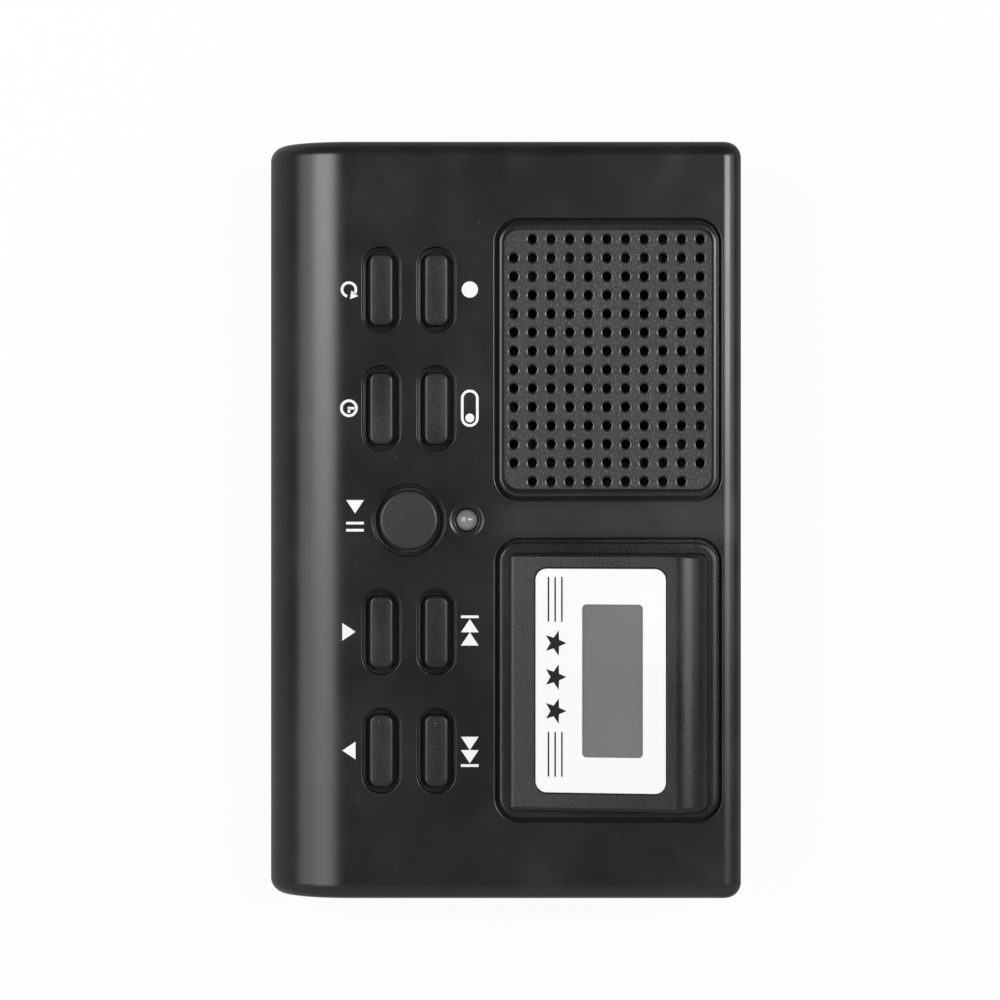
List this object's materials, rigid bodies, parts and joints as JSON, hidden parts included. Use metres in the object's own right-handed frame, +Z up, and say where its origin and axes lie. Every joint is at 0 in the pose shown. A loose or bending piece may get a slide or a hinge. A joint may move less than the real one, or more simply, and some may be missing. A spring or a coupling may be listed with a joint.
{
  "type": "telephone call recorder",
  "caption": "Black desk telephone call recorder with pill-shaped press keys, a round play key, a speaker grille and a sloped hump with a small display.",
  "frame": {"origin": "centre of the footprint on the table, under the feet", "axes": "+X to the right along the long side, +Y from the key side to the socket side, +Z up"},
  "size_m": [0.1156, 0.0724, 0.0304],
  "materials": {
    "case_black": "fine textured, semi matt",
    "key_grey": "smooth, satin",
    "label_white": "smooth, matt white print",
    "clear_plastic": "clear, polished",
    "foot_rubber": "matt",
    "screw_steel": "zinc plated",
    "mat_rubber": "matt silicone",
    "board_green": "solder mask, satin",
    "lcd_glass": "grey, polished",
    "light_guide": "milky",
    "ribbon_film": "amber film",
    "tinned": "bright plated",
    "frame_steel": "stamped, plated",
    "cone_paper": "black, fibrous",
    "magnet_iron": "dark, matt",
    "wire_red": "smooth",
    "socket_black": "moulded, satin",
    "contact_gold": "gold plated",
    "bobbin_plastic": "moulded",
    "sleeve_plastic": "shrink sleeve",
    "cell_label": "printed sleeve, gloss"
  },
  "bodies": {
    "case": {"top_shell": "case_black", "bottom_shell": "case_black", "speaker_grille": "case_black", "display_bezel": "case_black", "display_label": "label_white", "display_window": "clear_plastic", "rubber_feet": "foot_rubber", "case_screws": "screw_steel", "key_mat": "mat_rubber", "main_board": "board_green", "board_screws": "screw_steel", "lcd_panel": "lcd_glass", "lcd_backlight": "light_guide", "lcd_ribbon": "ribbon_film", "led_lamp": "clear_plastic", "led_leads": "tinned", "speaker_basket": "frame_steel", "speaker_cone": "cone_paper", "speaker_magnet": "magnet_iron", "speaker_gasket": "mat_rubber", "speaker_leads": "wire_red", "line_jack": "socket_black", "phone_jack": "socket_black", "jack_contacts": "contact_gold", "card_socket": "frame_steel", "power_jack": "socket_black", "power_pin": "tinned", "earphone_jack": "socket_black", "main_chip": "socket_black", "memory_chip": "socket_black", "line_transformer": "bobbin_plastic", "transformer_core": "magnet_iron", "capacitors": "sleeve_plastic", "crystal": "tinned", "battery_cells": "cell_label", "battery_contacts": "tinned"},
    "battery_door": {"battery_door": "case_black"},
    "replay_key": {"replay_key": "key_grey"},
    "record_key": {"record_key": "key_grey"},
    "timer_key": {"timer_key": "key_grey"},
    "mode_key": {"mode_key": "key_grey"},
    "play_key": {"play_key": "key_grey"},
    "up_key": {"up_key": "key_grey"},
    "down_key": {"down_key": "key_grey"},
    "previous_key": {"previous_key": "key_grey"},
    "next_key": {"next_key": "key_grey"}
  },
  "joints": [
    {"name": "replay_press", "type": "slide", "parent": "case", "child": "replay_key", "axis": [0, 0, -1], "range_m": [0, 0.0012], "stiffness_N_per_m": 800, "deforming": ["key_mat"]},
    {"name": "record_press", "type": "slide", "parent": "case", "child": "record_key", "axis": [0, 0, -1], "range_m": [0, 0.0012], "stiffness_N_per_m": 800, "deforming": ["key_mat"]},
    {"name": "timer_press", "type": "slide", "parent": "case", "child": "timer_key", "axis": [0, 0, -1], "range_m": [0, 0.0012], "stiffness_N_per_m": 800, "deforming": ["key_mat"]},
    {"name": "mode_press", "type": "slide", "parent": "case", "child": "mode_key", "axis": [0, 0, -1], "range_m": [0, 0.0012], "stiffness_N_per_m": 800, "deforming": ["key_mat"]},
    {"name": "play_press", "type": "slide", "parent": "case", "child": "play_key", "axis": [0, 0, -1], "range_m": [0, 0.0012], "stiffness_N_per_m": 800, "deforming": ["key_mat"]},
    {"name": "up_press", "type": "slide", "parent": "case", "child": "up_key", "axis": [0, 0, -1], "range_m": [0, 0.0012], "stiffness_N_per_m": 800, "deforming": ["key_mat"]},
    {"name": "down_press", "type": "slide", "parent": "case", "child": "down_key", "axis": [0, 0, -1], "range_m": [0, 0.0012], "stiffness_N_per_m": 800, "deforming": ["key_mat"]},
    {"name": "previous_press", "type": "slide", "parent": "case", "child": "previous_key", "axis": [0, 0, -1], "range_m": [0, 0.0012], "stiffness_N_per_m": 800, "deforming": ["key_mat"]},
    {"name": "next_press", "type": "slide", "parent": "case", "child": "next_key", "axis": [0, 0, -1], "range_m": [0, 0.0012], "stiffness_N_per_m": 800, "deforming": ["key_mat"]},
    {"name": "door_slide", "type": "slide", "parent": "case", "child": "battery_door", "axis": [0, -1, 0], "range_m": [0, 0.04]}
  ]
}
